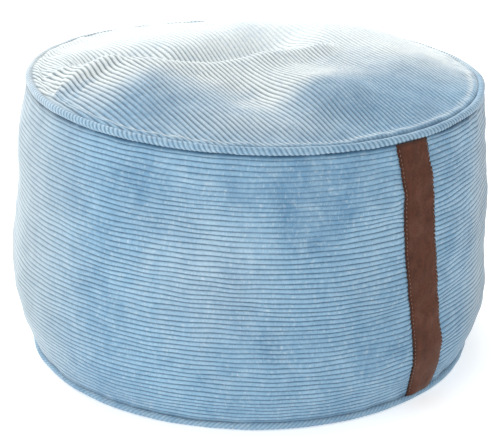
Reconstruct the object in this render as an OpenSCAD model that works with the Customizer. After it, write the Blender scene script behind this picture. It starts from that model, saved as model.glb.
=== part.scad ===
// Round floor bean bag seat: a corduroy cover with piped seams and a suede
// strip, zipped over an inner bag of polystyrene beads.
// The seat stands on z = 0, centred on the z axis, with the strip facing -y.

/* [Seat] */
// Widest diameter of the side
body_d = 500; // [380:1:600]
// Diameter of the ring that the centre of each piping lies on
seam_d = 467; // [350:1:560]
// Height between the centres of the two pipings
side_h = 287.6; // [200:0.1:380]
// Height of the widest place above the floor
widest_z = 76; // [50:1:110]
// Rise of the seat panel from its rim to its middle
crown_h = 25; // [10:1:60]

/* [Cover] */
// Thickness of the corduroy
cover_t = 2.4; // [1:0.1:4]
// Depth of the seam allowances turned inside
allowance = 12; // [6:0.5:18]
// Outer diameter of the piping
piping_d = 8; // [6:0.5:12]
// Thickness of the strip folded round the piping cord
piping_t = 1.1; // [0.6:0.1:1.4]
// Gap left between pieces that are sewn or pressed together
sewn_gap = 0.1; // [0.05:0.01:0.2]

/* [Suede strip] */
// Width of the strip
strip_w = 42; // [20:1:80]
// Thickness of the strip
strip_t = 1.6; // [0.8:0.1:3]
// Distance of the stitch rows from the strip's edges
stitch_inset = 2.5; // [1.5:0.1:6]
// Length of one stitch
stitch_l = 3; // [2:0.1:5]
// Distance between the starts of two stitches
stitch_pitch = 4.5; // [3.5:0.1:8]
// Diameter of the thread
thread_d = 0.6; // [0.3:0.05:1]

/* [Base zip] */
// Length of the zip's teeth
zip_l = 368; // [200:1:400]
// Width of the gap between the two base panels
zip_gap = 13; // [12:0.5:16]
// Width of the hem along the zip
hem_w = 12; // [8:0.5:20]
// Width of one zip tape
tape_w = 16; // [12:0.5:20]
// Thickness of a zip tape
tape_t = 0.5; // [0.3:0.05:0.8]
// Width of one half of the coil
coil_w = 2.4; // [1.8:0.1:3]
// Height of the coil
coil_h = 2; // [1.4:0.1:2.4]
// Half of the slit between the two coils
coil_slit = 0.8; // [0.6:0.05:1]
// Length of the slider
slider_l = 14; // [10:0.5:18]
// Thickness of the slider's plates
slider_t = 1; // [0.8:0.1:1.4]
// Clearance round everything that slides or swings
run_gap = 0.3; // [0.2:0.05:0.5]
// Length of the pull from its pin to its tip
pull_l = 28; // [18:1:40]
// Width of the pull
pull_w = 7; // [6:0.5:9]
// Diameter of the pull's pin
pin_d = 1.2; // [1:0.1:1.6]

/* [Inner bag] */
// Thickness of the inner bag's cloth
liner_t = 0.8; // [0.4:0.1:1.2]
// Gap between the inner bag and the cover
liner_gap = 0.5; // [0.3:0.1:2]
// Length of the inner bag's zip
liner_zip_l = 240; // [120:1:300]
// Distance of the inner bag's zip from the middle, away from the strip
liner_zip_y = 60; // [40:1:90]

/* [Hidden] */

corduroy = "lightsteelblue";
suede = "sienna";
thread = "peru";
tape_blue = "steelblue";
coil_blue = "slategray";
metal = "silver";
calico = "antiquewhite";
cotton = "ivory";

eps = 0.01;
far = body_d;
turns = 144;
piping_r = piping_d / 2;
body_r = body_d / 2 - cover_t / 2;
seam_r = seam_d / 2;
base_z = piping_r + 0.4;
top_z = base_z + side_h;

// Radial stack of the seam allowances, from the piping inwards
hug = piping_r + sewn_gap + cover_t / 2;
tail_out_r = seam_r - piping_r - piping_t / 2 - 0.45;
tail_in_r = tail_out_r - piping_t - 0.05;
band_lip_r = tail_out_r + piping_t / 2 + sewn_gap + cover_t / 2;
panel_lip_r = tail_in_r - piping_t / 2 - sewn_gap - cover_t / 2;
stack_r = panel_lip_r - cover_t / 2;
lip = piping_r - 1 + allowance;

// Side of the cover: centre line of the cloth at height z
wall_low = base_z + hug + 2;
wall_high = top_z - hug - 2;
wall_end_r = seam_r + 1.9;
function wall_r(z) =
    let (span = z < widest_z ? widest_z - wall_low : wall_high - widest_z,
         part = (z - widest_z) / span)
    body_r - (body_r - wall_end_r) * part * part;

// Seat panel: centre line of the cloth at radius r
rim_r = seam_r - hug + 1;
rim_z = top_z + hug;
crown_power = 3.5;
function dome_z(r) = rim_z + crown_h * (1 - pow(r / rim_r, crown_power));

// A cloth section: the outline of thickness t along the points of path
function unit(v) = v / norm(v);
function side_of(path, i) = let (d = unit(path[i + 1] - path[i])) [-d.y, d.x];
function miter(path, i) =
    i == 0 ? (path[0].x == 0 ? [0, 1] : side_of(path, 0))
    : i == len(path) - 1 ? side_of(path, i - 1)
    : let (a = side_of(path, i - 1), m = unit(a + side_of(path, i))) m / (m * a);
function edge(path, d) = [for (i = [0:len(path) - 1]) path[i] + miter(path, i) * d];
function reversed(path) = [for (i = [len(path) - 1:-1:0]) path[i]];
function clear_of_axis(path) = [for (p = path) [max(0, p.x), p.y]];
function cloth(path, t) = clear_of_axis(concat(edge(path, t / 2), reversed(edge(path, -t / 2))));

module turned(outline) {
    rotate_extrude($fn = turns) polygon(outline);
}

// ---- Cover ----------------------------------------------------------------

band_steps = 14;
wall_path = [for (i = [0:band_steps])
             let (z = wall_low + (wall_high - wall_low) * i / band_steps) [wall_r(z), z]];
band_path = concat(
    [[band_lip_r, base_z + lip], [band_lip_r, base_z + hug + 1.9],
     [band_lip_r + 0.8, base_z + hug + 0.1], [wall_end_r - 0.8, base_z + hug + 0.1]],
    wall_path,
    [[wall_end_r - 0.8, top_z - hug - 0.1], [band_lip_r + 0.8, top_z - hug - 0.1],
     [band_lip_r, top_z - hug - 1.9], [band_lip_r, top_z - lip]]);

dome_steps = 14;
dome_walk = [for (i = [0:dome_steps]) rim_r * sqrt(i / dome_steps)];

module side_band() {
    color(corduroy) turned(cloth(band_path, cover_t));
}

module top_panel() {
    rim = [[seam_r - hug + 0.4, top_z + 2.3], [panel_lip_r, top_z - 0.8],
           [panel_lip_r, top_z - lip]];
    color(corduroy)
        turned(cloth(concat([for (r = dome_walk) [r, dome_z(r)]], rim), cover_t));
}

// Half of the base, with a double hem along the zip and closed past its ends
hem_top = 3 * cover_t;
zip_room = zip_l - slider_l + 2 * pull_l + 8;
module base_half() {
    rim = [[0, cover_t / 2], [seam_r - hug - 0.3, cover_t / 2],
           [seam_r - hug, base_z - 0.8], [panel_lip_r, base_z + 1.8],
           [panel_lip_r, base_z + lip]];
    intersection() {
        union() {
            turned(cloth(rim, cover_t));
            intersection() {
                cylinder(h = hem_top, r = stack_r - 1, $fn = turns);
                translate([-far, 0, cover_t - eps]) cube([2 * far, zip_gap / 2 + hem_w, 2 * cover_t]);
            }
        }
        difference() {
            translate([-far, sewn_gap / 2, -far]) cube([2 * far, far, 2 * far]);
            translate([-zip_room / 2, -eps, -far]) cube([zip_room, zip_gap / 2 + eps, 2 * far]);
        }
    }
}

module base_panel_rear() {
    color(corduroy) base_half();
}

module base_panel_front() {
    color(corduroy) mirror([0, 1, 0]) base_half();
}

// Piping: a strip folded round a cord, with both its edges in the seam.
// up is 1 where the seam allowances hang down and -1 where they stand up.
core_r = piping_r - piping_t - 0.15;
fold_r = piping_r - piping_t / 2;
fold_steps = 30;
fold_from = 232;
fold_turn = 335;
module piping_cover(z, up) {
    fold = [for (i = [0:fold_steps]) let (a = fold_from + fold_turn * i / fold_steps)
            [seam_r + fold_r * cos(a), z + up * fold_r * sin(a)]];
    path = concat([[tail_out_r, z - up * lip], [tail_out_r, z - up * 4]], fold,
                  [[tail_in_r, z - up * 3.2], [tail_in_r, z - up * lip]]);
    turned(cloth(path, piping_t));
}

module piping_cord(z) {
    rotate_extrude($fn = turns) translate([seam_r, z]) circle(core_r, $fn = 32);
}

module top_piping_cover() {
    color(corduroy) piping_cover(top_z, 1);
}

module base_piping_cover() {
    color(corduroy) piping_cover(base_z, -1);
}

module top_piping_cord() {
    color(cotton) piping_cord(top_z);
}

module base_piping_cord() {
    color(cotton) piping_cord(base_z);
}

// ---- Suede strip ------------------------------------------------------------

strip_low = base_z + piping_r - 0.2;
strip_high = top_z - piping_r + 0.2;
strip_in = cover_t / 2 + sewn_gap;

module suede_strip() {
    path = concat([[wall_end_r - 0.2, strip_low]], wall_path, [[wall_end_r - 0.2, strip_high]]);
    color(suede) intersection() {
        turned(concat(edge(path, -strip_in), reversed(edge(path, -strip_in - strip_t))));
        translate([-strip_w / 2, -far, 0]) cube([strip_w, far, far]);
    }
}

// One row of stitches lying on the strip, x from its middle
module stitch_row(x) {
    count = floor((wall_high - wall_low - stitch_l) / stitch_pitch);
    first = (wall_high + wall_low - count * stitch_pitch) / 2;
    lie = strip_in + strip_t + thread_d / 2 + 2 * sewn_gap;
    for (i = [0:count]) {
        z = first + i * stitch_pitch;
        lean = atan2(wall_r(z + 1) - wall_r(z - 1), 2);
        r = wall_r(z) + lie / cos(lean);
        translate([x, -sqrt(r * r - x * x), z]) rotate([lean, 0, 0])
            cylinder(h = stitch_l, d = thread_d, center = true, $fn = 8);
    }
}

module strip_stitching_left() {
    color(thread) stitch_row(stitch_inset - strip_w / 2);
}

module strip_stitching_right() {
    color(thread) stitch_row(strip_w / 2 - stitch_inset);
}

// ---- Zips -------------------------------------------------------------------
// Each zip runs along x. Its teeth hang below its tape, and z is the tape's
// underside. side is 1 or -1 for the half on that side of the middle.

module one_tape(length, z, side) {
    low = side > 0 ? coil_slit : -tape_w;
    translate([-length / 2, low, z]) cube([length, tape_w - coil_slit, tape_t]);
}

module one_coil(length, z, side) {
    low = side > 0 ? coil_slit : -coil_slit - coil_w;
    translate([-length / 2, low, z - coil_h]) cube([length, coil_w, coil_h]);
}

module stop_block(x, y0, y1, z, stop_l) {
    translate([x, y0, z - coil_h]) cube([stop_l, y1 - y0, coil_h]);
}

// Two plates joined by a thin wall in the slit, and low walls beside the teeth
slider_w = 2 * (coil_slit + coil_w + run_gap + slider_t);
module slider_body(z) {
    outer = z - coil_h - run_gap - slider_t;
    inner = z + tape_t + run_gap;
    wall = 2 * (coil_slit - run_gap);
    bridge_l = slider_l / 3;
    for (low = [outer, inner])
        translate([-slider_l / 2, -slider_w / 2, low]) cube([slider_l, slider_w, slider_t]);
    translate([slider_l / 2 - bridge_l, -wall / 2, outer]) cube([bridge_l, wall, inner + slider_t - outer]);
    for (y = [-slider_w / 2, slider_w / 2 - slider_t])
        translate([-slider_l / 2, y, outer]) cube([slider_l, slider_t, z - run_gap - outer]);
}

stop_l = 4;
tape_z = hem_top;
tape_l = zip_l + 30;

module zip_tape_front() {
    color(tape_blue) one_tape(tape_l, tape_z + sewn_gap, -1);
}

module zip_tape_rear() {
    color(tape_blue) one_tape(tape_l, tape_z + sewn_gap, 1);
}

module zip_coil_front() {
    color(coil_blue) one_coil(zip_l, tape_z, -1);
}

module zip_coil_rear() {
    color(coil_blue) one_coil(zip_l, tape_z, 1);
}

module zip_top_stops() {
    color(metal) for (side = [-1, 1]) {
        near = side > 0 ? coil_slit : -coil_slit - coil_w;
        stop_block(zip_l / 2 + sewn_gap, near, near + coil_w, tape_z, stop_l);
    }
}

module zip_bottom_stop() {
    half = coil_slit + coil_w;
    color(metal) stop_block(-zip_l / 2 - sewn_gap - stop_l, -half, half, tape_z, stop_l);
}

// The slider rests at the +x end of the teeth, where the zip is closed
slider_x = zip_l / 2 - slider_l / 2 - 0.5;
plate_z = tape_z - coil_h - run_gap - slider_t;
pin_z = plate_z - run_gap - 1.5;
bail_w = 2.4;
bail_t = 0.8;
bail_room = pin_d + 2 * run_gap;

module zip_slider() {
    arch_l = bail_room + 2 * bail_t;
    arch_h = plate_z - pin_z + bail_room / 2 + bail_t;
    color(metal) translate([slider_x, 0, 0]) {
        slider_body(tape_z);
        difference() {
            translate([-arch_l / 2, -bail_w / 2, plate_z - arch_h])
                cube([arch_l, bail_w, arch_h + slider_t / 2]);
            translate([-bail_room / 2, -far / 2, plate_z - arch_h + bail_t])
                cube([bail_room, far, arch_h - bail_t]);
        }
    }
}

// Pull, lying flat towards -x, with its pin through the slider's bail
module zip_pull() {
    arm_y = bail_w / 2 + run_gap;
    arm_w = pull_w / 2 - arm_y;
    window = bail_room / 2 + bail_t + 2;
    color(metal) translate([slider_x, 0, pin_z]) {
        rotate([90, 0, 0]) cylinder(h = pull_w - 0.4, d = pin_d, center = true, $fn = 24);
        for (y = [-pull_w / 2, arm_y])
            translate([-window - 1, y, -pin_d / 2]) cube([window + 1 + pin_d / 2, arm_w, pin_d]);
        difference() {
            translate([pull_w / 2 - pull_l, 0, -pin_d / 2]) pull_tab(window);
            translate([-pull_l + 5, 0, -pin_d]) cylinder(h = 2 * pin_d, d = 3, $fn = 24);
        }
    }
}

// Round-ended tab that ends at the window round the bail
module pull_tab(window) {
    cylinder(h = pin_d, d = pull_w, $fn = 32);
    translate([0, -pull_w / 2, 0]) cube([pull_l - pull_w / 2 - window, pull_w, pin_d]);
}

// Two rows of stitches that hold the tapes to the hems, seen inside the cover
module zip_stitching() {
    row_y = zip_gap / 2 + hem_w / 3;
    pitch = 2 * stitch_pitch;
    count = floor((tape_l - pitch) / pitch);
    color(thread) for (y = [-row_y, row_y], i = [0:count])
        translate([(i - count / 2) * pitch, y, tape_z + tape_t + 2 * sewn_gap + thread_d / 2])
            rotate([0, 90, 0]) cylinder(h = stitch_l, d = thread_d, center = true, $fn = 8);
}

// ---- Inner bag ----------------------------------------------------------------

liner_z = tape_z + tape_t + 2 * run_gap + slider_t + liner_gap + liner_t / 2;
liner_neck_r = stack_r - liner_gap - liner_t / 2;
liner_top_z = top_z + 2;
liner_lap = 8;
lap_r = liner_neck_r - liner_t - sewn_gap;
liner_drop = cover_t / 2 + liner_gap + liner_t / 2;

// The inner bag is narrow inside the seam allowances and follows the wall between them
neck_low = max(base_z + lip, liner_z + liner_lap) + 1;
neck_high = min(top_z - lip, liner_top_z - 1 - liner_lap) - 1;
neck_slope = 0.9;
function liner_r(z) =
    min(wall_r(z) - 1.1 * liner_drop, liner_neck_r + neck_slope * min(z - neck_low, neck_high - z));
liner_steps = 20;
liner_walk = [for (i = [0:liner_steps]) neck_low + (neck_high - neck_low) * i / liner_steps];

module liner_side() {
    color(calico) turned(cloth(concat([[liner_neck_r, liner_z]],
        [for (z = liner_walk) [liner_r(z), z]], [[liner_neck_r, liner_top_z]]), liner_t));
}

module liner_top() {
    dome = [for (r = dome_walk) if (r < lap_r - 3) [r, dome_z(r) - liner_drop]];
    color(calico) turned(cloth(concat(dome,
        [[lap_r, liner_top_z - 1], [lap_r, liner_top_z - 1 - liner_lap]]), liner_t));
}

liner_slit = zip_gap - 1;
liner_tape_z = liner_z + liner_t / 2;
liner_tape_l = liner_zip_l + 20;
module liner_base() {
    path = [[0, liner_z], [lap_r - 2, liner_z], [lap_r, liner_z + 2], [lap_r, liner_z + liner_lap]];
    color(calico) difference() {
        turned(cloth(path, liner_t));
        translate([-liner_tape_l / 2 + 6, liner_zip_y - liner_slit / 2, 0])
            cube([liner_tape_l - 12, liner_slit, 2 * liner_z]);
    }
}

module liner_zip_tapes() {
    color(cotton) translate([0, liner_zip_y, 0]) for (side = [-1, 1])
        one_tape(liner_tape_l, liner_tape_z + sewn_gap, side);
}

module liner_zip_coils() {
    color(cotton) translate([0, liner_zip_y, 0]) for (side = [-1, 1])
        one_coil(liner_zip_l, liner_tape_z, side);
}

module liner_zip_stops() {
    half = coil_slit + coil_w;
    stop = 3;
    color(metal) translate([0, liner_zip_y, 0]) for (x = [liner_zip_l / 2 + sewn_gap,
                                                        -liner_zip_l / 2 - sewn_gap - stop])
        stop_block(x, -half, half, liner_tape_z, stop);
}

// The inner zip's slider has no pull, so that a child can't open it
module liner_zip_slider() {
    color(metal) translate([liner_zip_l / 2 - slider_l / 2 - 0.5, liner_zip_y, 0])
        slider_body(liner_tape_z);
}

// The beads fill the inner bag from its zip up to its seat panel
module bead_filling() {
    low = liner_tape_z + tape_t + 2 * run_gap + slider_t;
    neck = lap_r - liner_drop / 2;
    side = [for (z = liner_walk) [max(neck, liner_r(z) - liner_drop / 2), z]];
    dome = [for (r = reversed(dome_walk)) if (r < neck - 3) [r, dome_z(r) - 1.5 * liner_drop]];
    color("white") turned(concat([[0, low], [neck, low]], side, [[neck, liner_top_z - 3]], dome));
}

top_panel();
side_band();
base_panel_front();
base_panel_rear();
top_piping_cover();
top_piping_cord();
base_piping_cover();
base_piping_cord();
suede_strip();
strip_stitching_left();
strip_stitching_right();
zip_tape_front();
zip_tape_rear();
zip_coil_front();
zip_coil_rear();
zip_top_stops();
zip_bottom_stop();
zip_slider();
zip_pull();
zip_stitching();
liner_top();
liner_side();
liner_base();
liner_zip_tapes();
liner_zip_coils();
liner_zip_stops();
liner_zip_slider();
bead_filling();
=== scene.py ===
import math

import bmesh
import bpy
import numpy as np
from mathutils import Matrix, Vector


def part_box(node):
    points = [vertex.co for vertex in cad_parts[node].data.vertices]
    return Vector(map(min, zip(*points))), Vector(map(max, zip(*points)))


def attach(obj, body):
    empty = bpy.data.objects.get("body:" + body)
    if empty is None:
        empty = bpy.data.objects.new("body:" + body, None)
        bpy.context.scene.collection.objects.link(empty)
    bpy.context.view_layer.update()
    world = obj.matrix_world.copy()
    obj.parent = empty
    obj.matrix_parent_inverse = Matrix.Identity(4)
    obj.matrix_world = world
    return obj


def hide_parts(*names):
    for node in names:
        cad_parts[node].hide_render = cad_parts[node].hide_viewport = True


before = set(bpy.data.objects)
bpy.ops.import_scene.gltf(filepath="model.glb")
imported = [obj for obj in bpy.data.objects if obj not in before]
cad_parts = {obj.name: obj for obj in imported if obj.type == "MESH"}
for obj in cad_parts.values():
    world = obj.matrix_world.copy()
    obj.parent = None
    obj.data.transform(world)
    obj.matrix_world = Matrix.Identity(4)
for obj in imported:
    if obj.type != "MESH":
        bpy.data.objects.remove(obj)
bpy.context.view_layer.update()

MM = 0.001

# ---- Sizes taken from the frame ---------------------------------------------


def ring_of(node):
    """Radius and height of a cord that lies in a ring."""
    low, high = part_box(node)
    section = (high[2] - low[2]) / 2
    return high[0] - section, (low[2] + high[2]) / 2


SEAM_R, TOP_Z = ring_of("top_piping_cord")
BASE_Z = ring_of("base_piping_cord")[1]
PIPE_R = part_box("top_piping_cover")[1][0] - SEAM_R
BODY_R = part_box("side_band")[1][0]
CROWN_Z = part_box("top_panel")[1][2]
STRIP_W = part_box("suede_strip")[1][0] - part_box("suede_strip")[0][0]
HEM_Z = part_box("zip_tape_front")[0][2]
ZIP_HALF_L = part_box("zip_coil_front")[1][0]

# ---- Cloth ------------------------------------------------------------------

WALE = 5.0 * MM
WALE_DEPTH = 1.35 * MM
PANEL_WALE_DEPTH = 1.6 * MM
CLOTH = 2.0 * MM
PANEL_CLOTH = 1.2 * MM
# Places along one wale, as shares of its width, and how deep each lies
WALE_ROWS = ((0.0, 1.0), (0.10, 0.30), (0.31, 0.03), (0.69, 0.03), (0.90, 0.30))
PANEL_WALE_ROWS = ((0.0, 1.0), (0.13, 0.45), (0.33, 0.04), (0.67, 0.04), (0.87, 0.45))

# ---- How the filled seat has settled ----------------------------------------

VIEW_TURN = math.radians(-45.8)
RIGHT = np.array([math.cos(VIEW_TURN), math.sin(VIEW_TURN), 0.0])
AWAY = np.array([-math.sin(VIEW_TURN), math.cos(VIEW_TURN), 0.0])
LEAN = 0.020
BACK_SAG = 15 * MM
TOP_SHIFT = (4 * MM, 0 * MM)
BASE_SHIFT = (1 * MM, 2 * MM)
TWIST = math.radians(-7.2)
TWIST_FROM_Z = 14 * MM
BASE_TAKE_IN = 0.8 * MM
WIDEST_Z = 76 * MM
WALL_END_R = SEAM_R + 3.1 * MM
PANEL_RIM_R = SEAM_R - 2.6 * MM
PANEL_RIM_Z = TOP_Z + 2.2 * MM
CROWN = 20 * MM
CROWN_POWER = 2.8
CAD_CROWN = 25 * MM
CAD_CROWN_POWER = 3.5
SHOULDER_FROM_Z = 200 * MM
SHOULDER_RISE = 70 * MM
RIPPLE_WAVES = 12


def smooth(t):
    """A soft step from 0 to 1 as t goes from 0 to 1."""
    t = np.clip(t, 0, 1)
    return t * t * (3 - 2 * t)


def bell(distance, width):
    """A soft bump, 1 at no distance and nearly 0 at two widths."""
    return np.exp(-(distance / width) ** 2)


def from_turn(radius, turn, height):
    """Places from their radius, their turn round the z axis and their height."""
    return np.stack([radius * np.cos(turn), radius * np.sin(turn), height], 1)


def near_the_top(height):
    """From 0 on most of the side to 1 at its shoulder and above."""
    return smooth((height - SHOULDER_FROM_Z) / SHOULDER_RISE)


def ripple(points, size, seed):
    """A smooth random field of unit spread, with lumps about size across."""
    rng = np.random.default_rng(seed)
    total = np.zeros(len(points))
    for _ in range(RIPPLE_WAVES):
        way = rng.normal(size=3)
        way *= math.pi * rng.uniform(0.6, 1.4) / (size * np.linalg.norm(way))
        total += np.sin(points @ way + rng.uniform(0, 2 * math.pi))
    return total / math.sqrt(RIPPLE_WAVES / 2)


def round_patches(across, away, rows, scale=1):
    """Sum of round patches that fade outwards, from rows of right, away, width and strength."""
    total = np.zeros(len(across))
    for x, y, width, strength in rows:
        total += strength * scale * bell(np.hypot(across - x * MM, away - y * MM), width * MM)
    return total


def from_path(across, away, path):
    """Distance in plan from a bent line, and how far behind it a place lies."""
    best = np.full(len(across), 9.0)
    behind = np.zeros(len(across))
    for (x0, y0), (x1, y1) in zip(path, path[1:]):
        dx, dy = x1 - x0, y1 - y0
        t = np.clip(((across - x0) * dx + (away - y0) * dy) / (dx * dx + dy * dy), 0, 1)
        gap = np.hypot(across - x0 - t * dx, away - y0 - t * dy)
        side = np.sign((away - y0) * dx - (across - x0) * dy)
        nearer = gap < best
        best = np.where(nearer, gap, best)
        behind = np.where(nearer, gap * side, behind)
    return best, behind


# Soft heaps of beads under the seat panel: right, away, width, rise, in millimetres
HEAPS = (
    (-100, -105, 62, 12),
    (0, -118, 36, -9),
    (56, -108, 48, 13),
    (130, -60, 50, 4),
    (-150, 95, 55, -6),
    (-60, 140, 60, 7),
    (40, 150, 60, 9),
    (125, 110, 65, 14),
    (170, 30, 45, 3),
)
# Bulges of the side: way round from the right, height, height spread, out, in millimetres
BULGES = (
    (-8, 55, 45, 9),
    (176, 250, 45, 7),
    (180, 90, 75, 10),
)
# The long fold and the short crease of the seat panel: right, away, in metres
FOLD_PATH = (
    (-0.185, -0.045),
    (-0.130, -0.046),
    (-0.085, -0.057),
    (-0.050, -0.050),
    (0.010, -0.012),
    (0.060, 0.024),
)
FOLD_RISE = 9 * MM
FOLD_HOLLOW = 23 * MM
CREASE_PATH = ((-0.197, -0.108), (-0.172, -0.072), (-0.140, -0.050))
CREASE_RISE = 7 * MM


def relief(points):
    """How far the settled heap of beads stands above the plain dome."""
    across, away = points @ RIGHT, points @ AWAY
    rise = round_patches(across, away, HEAPS, MM)
    gap, behind = from_path(across, away, FOLD_PATH)
    crest = bell(gap, 24 * MM) * smooth(0.5 - behind / (30 * MM))
    hollow = bell(behind - 52 * MM, 34 * MM) * (behind > 0) * smooth((0.085 - across) / 0.09)
    hollow *= smooth((across + 0.205) / 0.05)
    rise += FOLD_RISE * crest - FOLD_HOLLOW * hollow
    rise += CREASE_RISE * bell(from_path(across, away, CREASE_PATH)[0], 11 * MM)
    rise += 1.2 * MM * ripple(points * np.array([1, 1, 0]), 60 * MM, 5)
    radius = np.hypot(points[:, 0], points[:, 1])
    return rise * smooth((SEAM_R - 4 * MM - radius) / (42 * MM))


def settle(points):
    """Moves places of the plain round seat to where the slack, leaning one has them."""
    x, y, z = points.T
    climb = np.clip((z - TWIST_FROM_Z) / (TOP_Z - TWIST_FROM_Z), 0, 1)
    twist = TWIST * (1 - (1 - climb) ** 1.4)
    radius = np.hypot(x, y)
    turn = np.arctan2(y, x) + twist
    rise = smooth((z - BASE_Z) / (TOP_Z - BASE_Z))
    wall = from_turn(BODY_R, turn, z)
    share = np.minimum(radius / BODY_R, 1)
    girth = np.sin(math.pi * np.clip((z - BASE_Z) / (TOP_Z - BASE_Z), 0, 1))
    swell = 1.8 * MM * ripple(wall, 190 * MM, 11) * girth * share
    swell += 0.9 * MM * ripple(wall, 70 * MM, 12) * girth * share
    across, away = wall @ RIGHT / BODY_R, wall @ AWAY / BODY_R
    for way, height, tall, out in BULGES:
        facing = np.cos(turn - VIEW_TURN - math.radians(way))
        swell += out * MM * smooth(facing) * bell(z - height * MM, tall * MM) * girth * share
    swell -= BASE_TAKE_IN * (1 - rise) * share
    radius = radius + swell
    sag = BACK_SAG * np.clip((away + 0.15) / 1.15, 0, 1) ** 1.2
    z = z - (LEAN * BODY_R * across + sag) * rise * share
    plain = from_turn(radius, turn, z)
    for shift, part in ((BASE_SHIFT, 1 - rise), (TOP_SHIFT, rise)):
        plain += (shift[0] * RIGHT + shift[1] * AWAY) * part[:, None]
    plain[:, 2] += relief(plain) * near_the_top(points[:, 2])
    return plain


def wall_radius(z):
    """Outer radius of the plain side at height z."""
    low, high = BASE_Z + 7 * MM, TOP_Z - 7 * MM
    span = np.where(z < WIDEST_Z, WIDEST_Z - low, high - WIDEST_Z)
    part = (z - WIDEST_Z) / span
    return BODY_R - (BODY_R - WALL_END_R) * part * part


def dome_height(radius):
    """The plain dome of the seat panel."""
    share = np.minimum(radius / PANEL_RIM_R, 1)
    return PANEL_RIM_Z + CROWN * (1 - share**CROWN_POWER)


def cad_dome_height(radius):
    """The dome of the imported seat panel, which its inner bag and beads follow."""
    share = np.minimum(radius / (SEAM_R - 4.3 * MM), 1)
    return CROWN_Z - CAD_CROWN * share**CAD_CROWN_POWER


# ---- Meshes -----------------------------------------------------------------


def coords(piece):
    """The places of a mesh's vertices, one row each."""
    flat = np.empty(len(piece.data.vertices) * 3)
    piece.data.vertices.foreach_get("co", flat)
    return flat.reshape(-1, 3)


def move_to(piece, points):
    piece.data.vertices.foreach_set("co", np.ascontiguousarray(points).ravel())
    piece.data.update()


def normals(piece):
    flat = np.empty(len(piece.data.vertices) * 3)
    piece.data.vertices.foreach_get("normal", flat)
    return flat.reshape(-1, 3)


def note(piece, name, values):
    """Keeps one number for each vertex, for the material to read."""
    layer = piece.data.attributes.new(name, "FLOAT", "POINT")
    layer.data.foreach_set("value", np.ascontiguousarray(values, dtype=np.float32))


def as_object(name, bm):
    """A new smooth-shaded object from a bmesh, which is freed."""
    mesh = bpy.data.meshes.new(name)
    bm.to_mesh(mesh)
    bm.free()
    mesh.polygons.foreach_set("use_smooth", [True] * len(mesh.polygons))
    piece = bpy.data.objects.new(name, mesh)
    bpy.context.scene.collection.objects.link(piece)
    return piece


def finish_piece(piece, node, material):
    """Gives a piece its material, lets it ride on the seat, and hides the CAD node whose place it takes.
    """
    piece.data.materials.clear()
    piece.data.materials.append(material)
    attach(piece, "seat")
    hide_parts(node)


def unit_grid(name, columns, rows):
    """A flat grid from -1 to 1, with each vertex's column and row numbers."""
    bm = bmesh.new()
    bmesh.ops.create_grid(bm, x_segments=columns, y_segments=rows, size=1)
    piece = as_object(name, bm)
    flat = coords(piece)
    column = np.rint((flat[:, 0] + 1) / 2 * columns).astype(int)
    row = np.rint((flat[:, 1] + 1) / 2 * rows).astype(int)
    return piece, column, row


def closed_ring(name, outline, columns):
    """A closed outline of (radius, height) carried once round the z axis."""
    piece, column, row = unit_grid(name, columns, len(outline))
    radius, height = np.array(outline)[row % len(outline)].T
    turn = 2 * math.pi * (column % columns) / columns
    move_to(piece, from_turn(radius, turn, height))
    bm = bmesh.new()
    bm.from_mesh(piece.data)
    bmesh.ops.remove_doubles(bm, verts=bm.verts, dist=0.001 * MM)
    bmesh.ops.recalc_face_normals(bm, faces=bm.faces)
    bm.to_mesh(piece.data)
    bm.free()
    return piece


def wale_row(number, rows=WALE_ROWS):
    """Place, in wales, and depth of one row of points across the wales."""
    share, depth = rows[number % len(rows)]
    return number // len(rows) + share, depth


def solid_cloth(piece, thickness):
    """Gives a sheet its thickness, inwards from the face that shows."""
    shell = piece.modifiers.new("Thickness", "SOLIDIFY")
    shell.thickness = thickness
    shell.offset = -1.0
    shell.use_even_offset = False


# ---- Shader nodes -------------------------------------------------------------


class Wire:
    """A shader socket that Python's operators work on, by adding Math nodes."""

    def __init__(self, tree, socket):
        self.tree, self.socket = tree, socket

    def maths(self, operation, first, second):
        """A Math node of two values, each a wire or a number."""
        node = self.tree.nodes.new("ShaderNodeMath")
        node.operation = operation
        for slot, value in zip(node.inputs, (first, second)):
            if isinstance(value, Wire):
                self.tree.links.new(value.socket, slot)
            else:
                slot.default_value = value
        return Wire(self.tree, node.outputs[0])

    def __add__(self, other):
        return self.maths("ADD", self, other)

    def __sub__(self, other):
        return self.maths("SUBTRACT", self, other)

    def __rsub__(self, other):
        return self.maths("SUBTRACT", other, self)

    def __mul__(self, other):
        return self.maths("MULTIPLY", self, other)

    __radd__, __rmul__ = __add__, __mul__


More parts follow.
